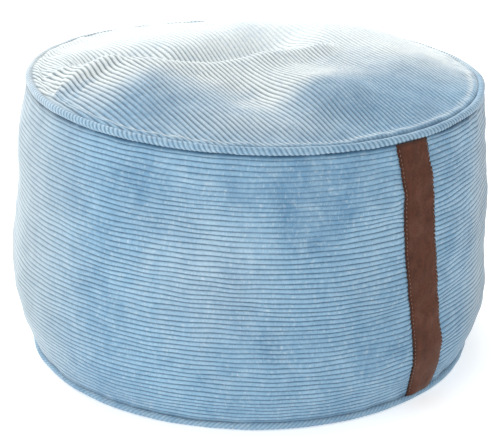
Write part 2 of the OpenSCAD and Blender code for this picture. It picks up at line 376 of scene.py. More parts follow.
class Finish:
    """A material with one Principled shader, and a method that adds any node."""

    def __init__(self, name, **even):
        self.material = bpy.data.materials.new(name)
        self.material.use_nodes = True
        self.tree = self.material.node_tree
        self.shader = self.tree.nodes["Principled BSDF"]
        for label, value in even.items():
            self.shader.inputs[label.replace("_", " ")].default_value = value

    def node(self, kind, settings=None, output=0, **sockets):
        """Adds a node; a socket goes by its name, or by i and its number where names repeat."""
        made = self.tree.nodes.new(kind)
        for label, value in (settings or {}).items():
            if label == "stops":
                for element, (place, colour) in zip(self.stops(made, len(value)), value):
                    element.position = place
                    element.color = (*colour, 1)
            else:
                setattr(made, label, value)
        for label, value in sockets.items():
            numbered = label[0] == "i" and label[1:].isdigit()
            slot = made.inputs[int(label[1:]) if numbered else label]
            if isinstance(value, Wire):
                self.tree.links.new(value.socket, slot)
            else:
                slot.default_value = value
        return Wire(self.tree, made.outputs[output])

    @staticmethod
    def stops(made, count):
        elements = made.color_ramp.elements
        while len(elements) < count:
            elements.new(0.5)
        return elements

    def place(self):
        return self.node("ShaderNodeTexCoord", output=3)

    def kept(self, name):
        """A number that note() has kept on the mesh."""
        return self.node("ShaderNodeAttribute", {"attribute_name": name}, output=2)

    def stretched(self, scale):
        """The piece's own places, with each axis scaled."""
        return self.node("ShaderNodeMapping", Vector=self.place(), Scale=scale)

    def noise(self, scale, detail=3.0, roughness=0.5, distortion=0.0, vector=None):
        return self.node("ShaderNodeTexNoise", Vector=vector or self.place(), Scale=scale,
                         Detail=detail, Roughness=roughness, Distortion=distortion)

    def ramp(self, factor, *stops):
        return self.node("ShaderNodeValToRGB", {"stops": stops}, Fac=factor)

    def mask(self, factor, start, end, first=0, last=1):
        """A grey ramp that goes from first to last between two values of a wire."""
        return self.ramp(factor, (start, grey(first)), (end, grey(last)))

    def mix(self, factor, first, second):
        """One colour turning into another; a plain colour is a tuple of three."""
        first = (*first, 1) if isinstance(first, tuple) else first
        second = (*second, 1) if isinstance(second, tuple) else second
        return self.node("ShaderNodeMix", {"data_type": "RGBA"}, output=2,
                         i0=factor, i6=first, i7=second)

    def bump(self, height, strength, distance, under=None):
        sockets = dict(Strength=strength, Distance=distance, Height=height)
        if under:
            sockets["Normal"] = under
        return self.node("ShaderNodeBump", **sockets)

    def feed(self, label, wire):
        """Links a wire into the Principled shader."""
        self.tree.links.new(wire.socket, self.shader.inputs[label])
        return self


def grey(value):
    return (value, value, value)


# ---- Materials ----------------------------------------------------------------

BLUE_CREST = (0.272, 0.480, 0.660)
BLUE_DEEP = (0.115, 0.270, 0.435)
BLUE_WORN = (0.480, 0.640, 0.740)
BLUE_GROOVE_SHADE = (0.028, 0.085, 0.155)
PAINTED_GREY_SHADE = (0.30, 0.33, 0.335)
PALE_TUFTS_AND_SHEEN = (0.760, 0.805, 0.805)
SHEEN_GROOVE_SHADE = (0.085, 0.130, 0.150)
PILE_SHEEN = (1.0, 0.99, 0.96, 1.0)


def corduroy(name):
    """Cut pile in wales: crushed in patches, with painted sheen and light that turn it near white in
    places, painted shade in the grooves, along the seams and in some darker patches, and painted grey
    shade at the side's edges.
    """
    pile = Finish(name, Roughness=0.92, Sheen_Weight=0.42, Sheen_Roughness=0.40,
                  Sheen_Tint=PILE_SHEEN, Specular_IOR_Level=0.15)
    patches = pile.mask(pile.noise(11, 4, 0.6, 0.6), 0.36, 0.68)
    crush = pile.mask(pile.noise(62, 3, 0.6, 0.8), 0.42, 0.72)
    streak = pile.mask(pile.noise(75, 3, 0.6, 0.3, pile.stretched((1, 1, 0.14))), 0.35, 0.75)
    worn = pile.mask(pile.noise(19, 5, 0.65, 1.2), 0.54, 0.80)
    nap = pile.noise(950, 2, 0.7)
    lay = pile.stretched((1, 1, 0.6))
    flat_tufts = pile.mask(pile.noise(310, 4, 0.75, 0.6, lay), 0.50, 0.66)
    raised_tufts = pile.mask(pile.noise(350, 4, 0.75, 0.6, lay), 0.52, 0.68)
    # Darker blue in random crushed patches, and where the mesh marks flattened pile, which also holds
    # painted shade under the top seam and on heap fronts.
    tone = pile.mix(patches * 0.65 + crush * 0.3 + pile.kept("pressed") * 0.5, BLUE_CREST, BLUE_DEEP)
    tone = pile.mix(worn * 0.5 + streak * 0.22, tone, BLUE_WORN)
    # Painted sheen and light: the pile turns near white where the mesh marks it, standing in for sheen
    # at grazing views and light from behind and the left.
    brushed = pile.kept("brushed") * (1.15 - patches * 0.25 - crush * 0.15)
    tone = pile.mix(brushed, tone, PALE_TUFTS_AND_SHEEN)
    # Painted shade: the dark colour of the grooves, greyer where sheen is painted; the fine dark nap
    # flecks take it too.
    groove = pile.mix(brushed * 0.9, BLUE_GROOVE_SHADE, SHEEN_GROOVE_SHADE)
    tone = pile.mix(flat_tufts * 0.34, tone, pile.mix(brushed, BLUE_DEEP, BLUE_CREST))
    tone = pile.mix(raised_tufts * 0.32, tone, PALE_TUFTS_AND_SHEEN)
    tone = pile.mix(pile.mask(nap, 0.30, 0.75, 0.9, 0) * 0.22, tone, groove)
    shut = pile.mask(pile.noise(26, 4, 0.7, 1.0), 0.48, 0.76)
    # Painted shade in the grooves and along the seams, fainter where the wales are crushed shut.
    tone = pile.mix(pile.kept("groove") * (0.98 - shut * 0.5), tone, groove)
    # Painted shade: a grey colour mixed in where the mesh marks it.
    tone = pile.mix(pile.kept("greyed"), tone, PAINTED_GREY_SHADE)
    fuzz = pile.bump(nap, 0.35, 0.5 * MM)
    tufts = pile.bump(pile.noise(330, 3, 0.6, 0.4), 0.30, 0.8 * MM, fuzz)
    return pile.feed("Base Color", tone).feed("Normal", tufts).material


def suede():
    """Brushed brown suede with redder streaks, finger marks and short dark nap, and painted shade along
    its edges and stitch lines.
    """
    nap = Finish("brown_suede", Roughness=0.88, Sheen_Weight=0.20, Sheen_Roughness=0.4,
                 Sheen_Tint=(0.95, 0.75, 0.65, 1), Specular_IOR_Level=0.12)
    marks = nap.noise(38, 5, 0.62, 1.5)
    tone = nap.ramp(marks, (0.28, (0.056, 0.022, 0.014)), (0.55, (0.088, 0.036, 0.023)),
                    (0.78, (0.126, 0.060, 0.043)))
    red = nap.mask(nap.noise(120, 4, 0.65, 0.8, nap.stretched((1.6, 1.6, 0.35))), 0.40, 0.72)
    tone = nap.mix(red * 0.5, tone, (0.150, 0.045, 0.026))
    specks = nap.mask(nap.noise(520, 4, 0.75), 0.34, 0.52, 1, 0)
    tone = nap.mix(specks * 0.55, tone, (0.032, 0.016, 0.011))
    # Painted shade: darker where the strip's mesh marks its edges, stitch lines, dips into the grooves
    # and the tuck under the top piping.
    tone = nap.mix(nap.kept("edge") * 0.62, tone, (0.026, 0.013, 0.010))
    fine = nap.bump(nap.noise(900, 3, 0.7), 0.35, 0.4 * MM)
    return nap.feed("Base Color", tone).feed("Normal", nap.bump(marks, 0.2, 1.5 * MM, fine)).material


def thread():
    """Twisted sewing thread."""
    yarn = Finish("brown_thread", Roughness=0.6, Sheen_Weight=0.2, Specular_IOR_Level=0.3)
    twist = yarn.node("ShaderNodeTexWave", {"bands_direction": "DIAGONAL"}, output=1,
                      Vector=yarn.place(), Scale=900.0, Distortion=2.0)
    tone = yarn.mix(twist, (0.110, 0.050, 0.032), (0.270, 0.145, 0.100))
    return yarn.feed("Base Color", tone).feed("Normal", yarn.bump(twist, 0.4, 0.2 * MM)).material


def woven(name, light, dark, scale, roughness=0.85):
    """Plain-woven cloth or tape: two crossed sets of yarns."""
    cloth = Finish(name, Roughness=roughness, Sheen_Weight=0.2, Specular_IOR_Level=0.2)
    warp = cloth.node("ShaderNodeTexWave", {"bands_direction": "X"}, output=1,
                      Vector=cloth.place(), Scale=scale, Distortion=0.6)
    weft = cloth.node("ShaderNodeTexWave", {"bands_direction": "Y"}, output=1,
                      Vector=cloth.place(), Scale=scale, Distortion=0.6)
    weave = warp * 0.5 + weft * 0.5
    soil = cloth.noise(30, 4, 0.6)
    tone = cloth.mix(weave * 0.7 + soil * 0.3, dark, light)
    return cloth.feed("Base Color", tone).feed("Normal", cloth.bump(weave, 0.5, 0.3 * MM)).material


def twisted_cotton():
    """Soft cotton piping cord, laid in strands."""
    rope = Finish("cotton_cord", Roughness=0.9, Sheen_Weight=0.3)
    lay = rope.node("ShaderNodeTexWave", {"bands_direction": "DIAGONAL"}, output=1,
                    Vector=rope.place(), Scale=180.0, Distortion=3.0)
    tone = rope.mix(lay, (0.42, 0.38, 0.30), (0.78, 0.74, 0.64))
    return rope.feed("Base Color", tone).feed("Normal", rope.bump(lay, 0.8, 0.8 * MM)).material


def nylon(name, light, dark):
    """Moulded nylon with a faint cloudy tint."""
    coil = Finish(name, Roughness=0.42, Specular_IOR_Level=0.5)
    cloud = coil.noise(240, 3, 0.5)
    coil.feed("Base Color", coil.mix(cloud, dark, light))
    return coil.feed("Roughness", coil.mask(cloud, 0.3, 0.8, 0.34, 0.52)).material


def plated_metal():
    """Nickel-plated zip metal, tumbled and lightly scratched."""
    metal = Finish("nickel_plate", Metallic=1.0)
    scratch = metal.noise(420, 4, 0.7, 0.5, metal.stretched((0.15, 1, 1)))
    tone = metal.mix(metal.noise(60, 3), (0.48, 0.48, 0.49), (0.72, 0.72, 0.73))
    metal.feed("Roughness", metal.mask(scratch, 0.3, 0.75, 0.22, 0.44))
    return metal.feed("Base Color", tone).feed("Normal", metal.bump(scratch, 0.15, 0.1 * MM)).material


def beads():
    """Packed foam beads of about 4 mm."""
    foam = Finish("foam_beads", Roughness=0.7, Subsurface_Weight=0.1)
    cells = foam.node("ShaderNodeTexVoronoi", Vector=foam.place(), Scale=250.0)
    # Painted shade: each bead is lighter at its middle and darker towards the gaps between the beads.
    tone = foam.mix(cells, (0.90, 0.90, 0.88), (0.62, 0.62, 0.60))
    return foam.feed("Base Color", tone).feed("Normal", foam.bump(1 - cells, 0.9, 2 * MM)).material


CORDUROY = corduroy("blue_corduroy")
PIPING_CORDUROY = corduroy("blue_corduroy_on_the_bias")
SUEDE = suede()
THREAD = thread()
ZIP_TAPE = woven("zip_tape", (0.20, 0.32, 0.42), (0.09, 0.16, 0.23), 420.0)
CALICO = woven("liner_calico", (0.76, 0.73, 0.65), (0.50, 0.47, 0.40), 330.0)
LINER_TAPE = woven("liner_tape", (0.80, 0.79, 0.75), (0.55, 0.54, 0.50), 420.0)
COTTON = twisted_cotton()
COIL = nylon("zip_coil_nylon", (0.22, 0.33, 0.43), (0.12, 0.20, 0.28))
LINER_COIL = nylon("liner_coil_nylon", (0.82, 0.81, 0.78), (0.62, 0.61, 0.58))
METAL = plated_metal()
BEADS = beads()

# ---- Side band ------------------------------------------------------------------

BAND_STEPS = 264
BAND_END = 3.2 * MM
BAND_INNER_ROWS = 40
BAND_LIP = 1.6 * MM
LIP_CLEAR = 2 * MM
PROFILE_STEPS = 400
SEAM_TUCK = 3.6 * MM
SEAM_LINE = 4 * MM
UNDER_STRIP = 0.5 * MM
# The side's unevenness runs further round it than up it
WALL_STRETCH = 2.2


def wall_profile():
    """Heights and radii up the outside of the plain side, and the distance gone."""
    z = np.linspace(BASE_Z + BAND_END, TOP_Z - BAND_END, PROFILE_STEPS)
    r = wall_radius(z)
    gone = np.concatenate([[0], np.cumsum(np.hypot(np.diff(r), np.diff(z)))])
    return z, r, gone


def band_outline():
    """Radii and heights round a cut through the side: its wales, its lips and its inner face."""
    z, r, gone = wall_profile()
    wales = round(gone[-1] / WALE)
    pitch = gone[-1] / wales
    outer = []
    for number in range(wales * len(WALE_ROWS) + 1):
        place, depth = wale_row(number)
        height = np.interp(place * pitch, gone, z)
        outer.append((np.interp(height, z, r) - depth * WALE_DEPTH, height))
    inner_z = np.linspace(outer[-1][1], outer[0][1], BAND_INNER_ROWS)
    inner = [(np.interp(h, z, r) - WALE_DEPTH - CLOTH / 2, h) for h in inner_z]
    tucked = SEAM_R - SEAM_TUCK
    low, high = outer[0][1], outer[-1][1]
    low_lip, high_lip = (tucked, low + BAND_LIP), (tucked, high - BAND_LIP)
    inner = [p for p in inner if low_lip[1] + LIP_CLEAR < p[1] < high_lip[1] - LIP_CLEAR]
    return [(tucked, low)] + outer + [(tucked, high), high_lip] + inner + [low_lip]


def side_band():
    """The side: one ribbed strip of cloth with its edges turned in at the seams."""
    z, r, gone = wall_profile()
    piece = closed_ring("side_corduroy", band_outline(), BAND_STEPS)
    points = coords(piece)
    radius = np.hypot(points[:, 0], points[:, 1])
    on_top = radius - np.interp(points[:, 2], z, r)
    groove = np.clip(-on_top / WALE_DEPTH, 0, 1)
    pressed = pressed_and_seam_shade(points)
    outside = np.abs(on_top) < 1.1 * WALE_DEPTH
    points[:, :2] *= (1 + outside * 0.4 * pressed * groove * WALE_DEPTH / radius)[:, None]
    note(piece, "pressed", pressed)
    groove *= 1 - 0.4 * pressed
    # Painted shade in the grooves, and a dark line just under the top seam and just above the base seam.
    for seam in (TOP_Z - SEAM_LINE, BASE_Z + SEAM_LINE):
        groove = np.maximum(groove, bell(points[:, 2] - seam, 2.2 * MM))
    note(piece, "groove", groove)
    settled = settle(wrinkle_wall(points))
    brushed, greyed = side_sheen_and_shade(settled)
    note(piece, "brushed", brushed)
    note(piece, "greyed", greyed)
    move_to(piece, settled)
    finish_piece(piece, "side_band", CORDUROY)


def side_sheen_and_shade(points):
    """How much painted sheen and light the side's pile takes, most at its left edge, and how much
    painted grey shade at both its edges, from 0 to 1.
    """
    across = points @ RIGHT / BODY_R
    left = smooth((-across - 0.55) / 0.5)
    right = smooth((across - 0.78) / 0.22)
    # Painted sheen and light: a little everywhere, most at the left edge, some at the right edge, and a
    # soft lighter patch left of the front.
    painted_light = 0.20 * bell(across + 0.15, 0.22) * bell(points[:, 2] - 170 * MM, 70 * MM)
    brushed = 0.04 + 0.42 * left + 0.12 * right + painted_light
    # Painted shade: greyer and darker at the left edge and at the right edge.
    greyed = 0.45 * left + 0.42 * smooth((across - 0.84) / 0.14)
    return brushed, greyed


def pressed_and_seam_shade(points):
    """Where sitting and handling have flattened the wales of the side, and a band of painted shade under
    the top seam on the right that flattens them too, from 0 to 1.
    """
    handled = smooth(0.5 * ripple(points, 75 * MM, 61) + 0.35 * ripple(points, 28 * MM, 62) - 0.1)
    across = points @ RIGHT / BODY_R
    # Painted shade: a darker band under the top seam, right of the front, which also flattens the wales.
    shade_under_seam = bell(across - 0.36, 0.34) * bell(points[:, 2] - TOP_Z + 28 * MM, 34 * MM)
    return np.clip(0.75 * handled * bell(across - 0.30, 0.75) + shade_under_seam, 0, 1)


def seam_gather(turn, z):
    """Puckers of the side under each seam, in and out and up and down, from -1 to 1."""
    total = 0
    for seam, seed in ((TOP_Z, 24), (BASE_Z, 25)):
        round_seam = from_turn(BODY_R, turn, z * 0.2)
        total = total + bell(z - seam, 26 * MM) * ripple(round_seam, 11 * MM, seed)
    return total


def wall_dent(turn, z):
    """How far out the sewn side stands at a place, from its own unevenness."""
    around = from_turn(BODY_R, turn, z * WALL_STRETCH)
    return 0.35 * MM * ripple(around, 22 * MM, 23) + 0.7 * MM * seam_gather(turn, z)


def wrinkle_wall(points):
    """Small unevenness of the sewn side: wavy wales, seam puckers, pull beside the strip."""
    x, y, z = points.T
    turn = np.arctan2(y, x)
    around = from_turn(BODY_R, turn, z * WALL_STRETCH)
    inside = np.clip(np.minimum(z - BASE_Z, TOP_Z - z) / (30 * MM), 0, 1)
    dz = 0.9 * MM * ripple(around, 75 * MM, 21) * inside
    dz += 0.35 * MM * ripple(around, 26 * MM, 22) * inside
    from_strip = (turn + math.pi / 2) * BODY_R
    beside = np.clip(np.abs(from_strip) - STRIP_W / 2, 0, 1)
    pull = bell(beside, 34 * MM) * (beside > 0) * inside
    dz += 1.3 * MM * pull * np.sin(z * 2 * math.pi / (47 * MM) + np.sign(from_strip))
    dz += 0.3 * MM * seam_gather(turn, z)
    dr = wall_dent(turn, z) - UNDER_STRIP * (beside <= 0)
    dr += 0.7 * MM * pull * smooth(beside / (10 * MM)) * np.sin(z * 2 * math.pi / (31 * MM))
    radius = np.hypot(x, y) + dr
    return from_turn(radius, turn, z + dz)


# ---- Pipings ----------------------------------------------------------------------

RIB_COLUMNS = 6
PIPE_SIDES = 18
TOP_SEED, BASE_SEED = 50, 40
TOP_SLANT, BASE_SLANT = 1.2, -2.6
RIB_DEPTH = 0.7 * MM
RIB_TIGHT = 0.10 * MM


def piping_sway(turn, seed):
    """How far the cord wanders in and out of its ring."""
    return 0.45 * MM * ripple(from_turn(SEAM_R, turn, 0 * turn), 45 * MM, seed + 2)


def piping(name, node, height, seed, slant):
    """The ribbed cover of a cord, its wales lying slantwise round the cord."""
    ribs = round(2 * math.pi * SEAM_R / WALE)
    section = [(SEAM_R + PIPE_R * math.cos(a), height + PIPE_R * math.sin(a))
               for a in (2 * math.pi * i / PIPE_SIDES for i in range(PIPE_SIDES))]
    piece = closed_ring(name, section, ribs * RIB_COLUMNS)
    points = coords(piece)
    turn = np.arctan2(points[:, 1], points[:, 0])
    radius = np.hypot(points[:, 0], points[:, 1])
    round_cord = np.arctan2(points[:, 2] - height, radius - SEAM_R)
    place = turn / (2 * math.pi) * ribs + slant * round_cord / math.pi
    ring = from_turn(SEAM_R, turn, 0 * turn)
    place += 0.25 * ripple(ring, 60 * MM, seed)
    groove = np.clip(1 - np.abs(place - np.rint(place)) / 0.30, 0, 1) ** 1.3
    fat = PIPE_R - RIB_TIGHT + 0.12 * MM * ripple(ring, 16 * MM, seed + 1) - RIB_DEPTH * groove
    sway = piping_sway(turn, seed)
    radius = SEAM_R + sway + fat * np.cos(round_cord)
    z = height + fat * np.sin(round_cord) + 0.4 * sway
    if height == BASE_Z:
        z = np.maximum(z, 0.15 * MM)
    settled = settle(from_turn(radius, turn, z))
    # Painted shade in the grooves between the ribs, fainter on the base piping.
    note(piece, "groove", groove * (1 if height == TOP_Z else 0.6))
    # Painted sheen and light: a little on both pipings, and much more on the top piping's left and back.
    pale = smooth((-(settled @ RIGHT) + 0.7 * (settled @ AWAY) - 0.02) / 0.24)
    pale = np.maximum(pale, 0.9 * smooth((settled @ AWAY + 0.03) / 0.12))
    note(piece, "brushed", 0.14 + 0.62 * pale * (height == TOP_Z))
    move_to(piece, settled)
    finish_piece(piece, node, PIPING_CORDUROY)


# ---- Seat panel -------------------------------------------------------------------

# How far the wales of the seat panel are turned from the way across
PANEL_SLANT = math.radians(-56)
PANEL_TURN = VIEW_TURN + PANEL_SLANT - TWIST
PANEL_EASE = 0.016
# How much painted sheen and light the pile takes with its slope away and to the left, and how much
# painted sheen and painted grey shade it takes on the flat
SHEEN_SLOPE_AWAY, LIGHT_SLOPE_LEFT = 2.2, 1.6
PANEL_BASE_SHEEN = 0.26
PANEL_GREY_SHADE = 0.15
# Patches of painted light, and of painted shade with shallower wales, on the panel's pile: right, away,
# width, in millimetres, and strength
PANEL_LIGHT_PATCHES = ((-10, -62, 80, 1.05),)
PANEL_SHADE_PATCHES = ((78, -150, 42, 0.75), (-100, -165, 45, 0.55))
PANEL_COLUMNS = 76
SIM_CELLS = 84
SIM_FRAMES = 28
HEAP_GAP = 3 * MM
SEWN_MARGIN = 16 * MM
PANEL_CUT_R = 1.06 * PANEL_RIM_R
# Share of the rim's radius that a grid's outer row reaches
INSIDE_RIM = 0.9998


def disc_from_square(a, b):
    """Where a place of a square goes when the square is swelled into a disc."""
    return a * np.sqrt(1 - b * b / 2), b * np.sqrt(1 - a * a / 2)


def square_from_disc(x, y):
    """The other way: the place of the square that a place of the disc comes from."""
    def half(p, q):
        lean = 2 * math.sqrt(2) * p
        square = 2 + p * p - q * q
        return (np.sqrt(np.maximum(square + lean, 0)) - np.sqrt(np.maximum(square - lean, 0))) / 2
    return np.clip(half(x, y), -1, 1), np.clip(half(y, x), -1, 1)


def panel_plain(x, y):
    """The plain dome of the seat panel over a place in plan."""
    return np.stack([x, y, dome_height(np.hypot(x, y))], 1)


def drape_panel():
    """Cloth sewn to the ring of the top seam, a little too large for it, lying on the beads."""
    panel, column, row = unit_grid("panel_drape", SIM_CELLS, SIM_CELLS)
    a, b = column / SIM_CELLS * 2 - 1, row / SIM_CELLS * 2 - 1
    x, y = disc_from_square(a, b)
    start = settle(panel_plain(x * PANEL_RIM_R, y * PANEL_RIM_R))
    order = np.lexsort((column, row))
    heap, _, _ = unit_grid("bead_heap", SIM_CELLS, SIM_CELLS)
    under = start - np.array([0, 0, HEAP_GAP]) * smooth((1 - np.hypot(x, y)) / 0.04)[:, None]
    move_to(heap, under)
    rim = (column % SIM_CELLS == 0) | (row % SIM_CELLS == 0)
    move_to(panel, start + np.array([0, 0, 3 * MM]) * (~rim)[:, None])
    run_cloth(panel, heap, [int(i) for i in np.nonzero(rim)[0]])
    bpy.data.objects.remove(heap)
    free = smooth((1 - np.hypot(x, y)) * PANEL_RIM_R / SEWN_MARGIN)[:, None]
    move_to(panel, start + (coords(panel) - start) * free)
    shape = coords(panel)[order].reshape(SIM_CELLS + 1, SIM_CELLS + 1, 3)
    bpy.data.objects.remove(panel)
    return shape


def run_cloth(panel, heap, rim):
    """Lets the panel's cloth, pinned at its rim, fall on the heap, and keeps the shape it takes."""
    group = panel.vertex_groups.new(name="rim")
    group.add(rim, 1.0, "REPLACE")
    heap.modifiers.new("Collision", "COLLISION")
    heap.collision.thickness_outer = 1 * MM
    heap.collision.cloth_friction = 12
    cloth = panel.modifiers.new("Cloth", "CLOTH")
    cloth.settings.quality = 5
    cloth.settings.mass = 0.4
    cloth.settings.tension_stiffness = 40
    cloth.settings.compression_stiffness = 40
    cloth.settings.shear_stiffness = 20
    cloth.settings.bending_stiffness = 1.2
    cloth.settings.vertex_group_mass = "rim"
    cloth.settings.shrink_min = -PANEL_EASE
    cloth.settings.air_damping = 3
    cloth.collision_settings.distance_min = 1 * MM
    cloth.point_cache.frame_start = 1
    cloth.point_cache.frame_end = SIM_FRAMES
    scene = bpy.context.scene
    for step in range(1, SIM_FRAMES + 1):
        scene.frame_set(step)
    shown = panel.evaluated_get(bpy.context.evaluated_depsgraph_get())
    flat = np.empty(len(shown.data.vertices) * 3)
    shown.data.vertices.foreach_get("co", flat)
    panel.modifiers.clear()
    move_to(panel, flat.reshape(-1, 3))
    scene.frame_set(1)


def sample(shape, a, b):
    """Smooth reading of a square grid of places at a, b from -1 to 1."""
    cells = shape.shape[0] - 1
    total = 0
    for weights_b, index_b in cubic(b, cells):
        for weights_a, index_a in cubic(a, cells):
            total = total + shape[index_b, index_a] * (weights_a * weights_b)[:, None]
    return total


def cubic(t, cells):
    """The four neighbours and weights of a place in a row of a grid."""
    at = (t + 1) / 2 * cells
    first = np.clip(np.floor(at).astype(int), 0, cells - 1)
    s = at - first
    weights = ((-s + 2 * s**2 - s**3) / 2, (2 - 5 * s**2 + 3 * s**3) / 2,
               (s + 4 * s**2 - 3 * s**3) / 2, (s**3 - s**2) / 2)
    return [(w, np.clip(first + k - 1, 0, cells)) for k, w in enumerate(weights)]


def far_share(across, away):
    """From 0 on the front of the seat panel to 1 on its far part, which takes the most painted sheen."""
    return smooth((away + 0.14 - 0.22 * across) / 0.22)


def panel_sheen_and_light(across, away, facing):
    """How much painted sheen and light the seat panel's pile takes, from 0 to 1: some everywhere, most
    on its far part, in painted light patches and on slopes facing away and to the left.
    """
    far = far_share(across, away)
    lean = np.clip(SHEEN_SLOPE_AWAY * (facing @ AWAY) - LIGHT_SLOPE_LEFT * (facing @ RIGHT), -0.3, 0.9)
    painted_light = round_patches(across, away, PANEL_LIGHT_PATCHES)
    painted_light += 0.35 * bell(from_path(across, away, FOLD_PATH)[0], 28 * MM)
    painted_light += 0.75 * smooth((-across - 0.05) / 0.10) * smooth((away + 0.11) / 0.07)
    painted_light += 0.45 * bell(across - 0.005, 75 * MM) * bell(away + 0.190, 35 * MM)
    return np.clip(PANEL_BASE_SHEEN + far + painted_light + lean * (1 - 0.75 * far), 0, 1)


def top_panel():
    """The seat panel: draped cloth with its wales sunk into it, and the painted sheen, light and shade
    that its material reads.
    """
    shape = drape_panel()
    wales = round(2 * PANEL_RIM_R / WALE)
    rows = wales * len(PANEL_WALE_ROWS)
    piece, column, row = unit_grid("seat_corduroy", PANEL_COLUMNS, rows)
    places = np.array([wale_row(number, PANEL_WALE_ROWS) for number in range(rows + 1)])
    q = (places[row, 0] / wales * 2 - 1) * INSIDE_RIM
    p = (column / PANEL_COLUMNS * 2 - 1) * np.sqrt(1 - q * q)
    cos, sin = math.cos(PANEL_TURN), math.sin(PANEL_TURN)
    x, y = p * cos - q * sin, p * sin + q * cos
    skin = sample(shape, *square_from_disc(x, y))
    move_to(piece, skin)
    facing = normals(piece)
    across, away = skin @ RIGHT, skin @ AWAY
    far = far_share(across, away)
    # Painted sheen and light on the panel's pile.
    note(piece, "brushed", panel_sheen_and_light(across, away, facing))
    # Painted shade: a faint grey over the panel, fading out towards its far part.
    note(piece, "greyed", PANEL_GREY_SHADE * (1 - far))
    crushed = smooth(0.5 + 0.5 * ripple(skin, 26 * MM, 63))
    # Painted shade on the fronts of two heaps, and darker crushed patches over the right front; both
    # also make the wales shallower.
    pressed = round_patches(across, away, PANEL_SHADE_PATCHES)
    pressed += 0.8 * crushed * smooth((across - 0.07) / 0.08) * (1 - 0.8 * far)
    note(piece, "pressed", np.clip(pressed, 0, 1))
    inset = (1 - np.hypot(x, y)) * PANEL_RIM_R
    turn = np.arctan2(y, x)
    rim = from_turn(SEAM_R, turn, 0 * turn)
    pucker = 0.5 * MM * ripple(rim, 12 * MM, 31) * bell(inset - 10 * MM, 12 * MM)
    flat = np.stack([x * PANEL_RIM_R, y * PANEL_RIM_R, 0 * x], 1)
    pucker += 0.35 * MM * ripple(flat, 20 * MM, 32)
    fade = smooth(inset / (1.2 * MM))
    depth = places[row, 1] * (1 - 0.35 * np.clip(pressed, 0, 1) * crushed)
    filled = 1 - 0.75 * smooth((away + 0.02) / 0.15)
    skin = skin + facing * ((pucker - depth * (0.4 + 0.6 * filled) * PANEL_WALE_DEPTH) * fade)[:, None]
    move_to(piece, skin)
    # Painted shade: a dark line round the panel's rim inside the piping, and in the grooves, fainter
    # towards the back.
    seam = 0.7 * bell(inset, 1.8 * MM)
    note(piece, "groove", np.maximum(depth**0.8 * filled * (0.5 + 0.5 * fade), seam))
    solid_cloth(piece, PANEL_CLOTH)
    finish_piece(piece, "top_panel", CORDUROY)
    2 * PANEL_RIM_R
    2 * PANEL_RIM_R
    math.pi * PANEL_CUT_R**2


# ---- Base panels --------------------------------------------------------------------

BASE_RIM_R = SEAM_R - 3.2 * MM
ZIP_GAP = 6.5 * MM
ROLL = 3.2 * MM
CLOSED_X = ZIP_HALF_L + 24 * MM
BASE_COLUMNS = 66
BASE_WALE_ROWS = 4
BASE_WALE_DEPTH = 0.9 * MM
HEM_ROWS = 10
HEM_BEND = 0.6
HEM_WIDTH = 12 * MM
HEM_UNDER_TAPE = 1.6 * MM
BASE_CLEAR = 0.2 * MM
# Cloth that the hem of one half takes: its length by its width, in metres
BASE_HEM_AREA = 0.46 * 0.02


def base_panel(name, node, side):
    """Half of the base, its wales along the zip and its edge rolled up into a hem."""
    wales = round((BASE_RIM_R - ZIP_GAP) / WALE)
    rows = wales * BASE_WALE_ROWS + HEM_ROWS
    piece, column, row = unit_grid(name, BASE_COLUMNS, rows)
    u = column / BASE_COLUMNS * 2 - 1
    v = np.clip((row - HEM_ROWS) / (rows - HEM_ROWS), 0, 1)
    away = ZIP_GAP + ROLL + v * (BASE_RIM_R * INSIDE_RIM - ZIP_GAP - ROLL)
    x = u * np.sqrt(np.maximum(BASE_RIM_R**2 - away**2, 0))
    half = BASE_WALE_ROWS / 2
    wale_groove = np.abs((row - HEM_ROWS) % BASE_WALE_ROWS - half) / half
    groove = np.where(row >= HEM_ROWS, wale_groove, 0.4) ** 1.5
    roll = np.clip((HEM_ROWS - row) / HEM_ROWS, 0, 1)
    bend = np.clip(roll / HEM_BEND, 0, 1) * math.pi
    z = BASE_CLEAR + groove * BASE_WALE_DEPTH * (row >= HEM_ROWS)
    lift = (HEM_Z - HEM_UNDER_TAPE - z) / 2
    y = away - ROLL * np.sin(bend)
    z = z + lift * (1 - np.cos(bend))
    y = y + np.clip((roll - HEM_BEND) / (1 - HEM_BEND), 0, 1) * HEM_WIDTH
    closing = smooth((np.abs(x) - CLOSED_X) / (14 * MM))
    y = y - closing * (ZIP_GAP - 0.4 * MM) * bell(away - ZIP_GAP - ROLL, 30 * MM)
    rim = smooth((np.hypot(x, away) - BASE_RIM_R + 5 * MM) / (5 * MM))
    z = z + rim * (BASE_Z - 2.5 * MM) * (row > HEM_ROWS)
    move_to(piece, np.stack([x, side * y, z], 1))
    # Painted shade in the grooves of the base, and a little over its rolled hem.
    note(piece, "groove", groove)
    if side > 0:
        piece.data.flip_normals()
    solid_cloth(piece, PANEL_CLOTH)
    finish_piece(piece, node, CORDUROY)
    2 * BASE_RIM_R
    math.pi * BASE_RIM_R**2 / 2 + BASE_HEM_AREA


# ---- Suede strip ----------------------------------------------------------------------

STRIP_THICK = 1.5 * MM
STRIP_LIFT = 0.35 * MM
STITCH_INSET = 2.3 * MM
STITCH_PITCH = 4.4 * MM
STITCH_LENGTH = 2.8 * MM
STITCH_R = 0.4 * MM
STRIP_LOW = BASE_Z + 3.4 * MM
STRIP_HIGH = TOP_Z - 3.0 * MM
STITCH_LOW = BASE_Z + 10 * MM
STITCH_HIGH = TOP_Z - 8 * MM
STRIP_ROWS = 460
STRIP_COLUMNS = 30


def on_strip(across, height, lift):
    """A place on the settled strip: across from its middle, up the side, out by lift."""
    turn = across / BODY_R - math.pi / 2
    radius = wall_radius(height) + lift + wall_dent(turn, height)
    return settle(from_turn(radius, turn, height))


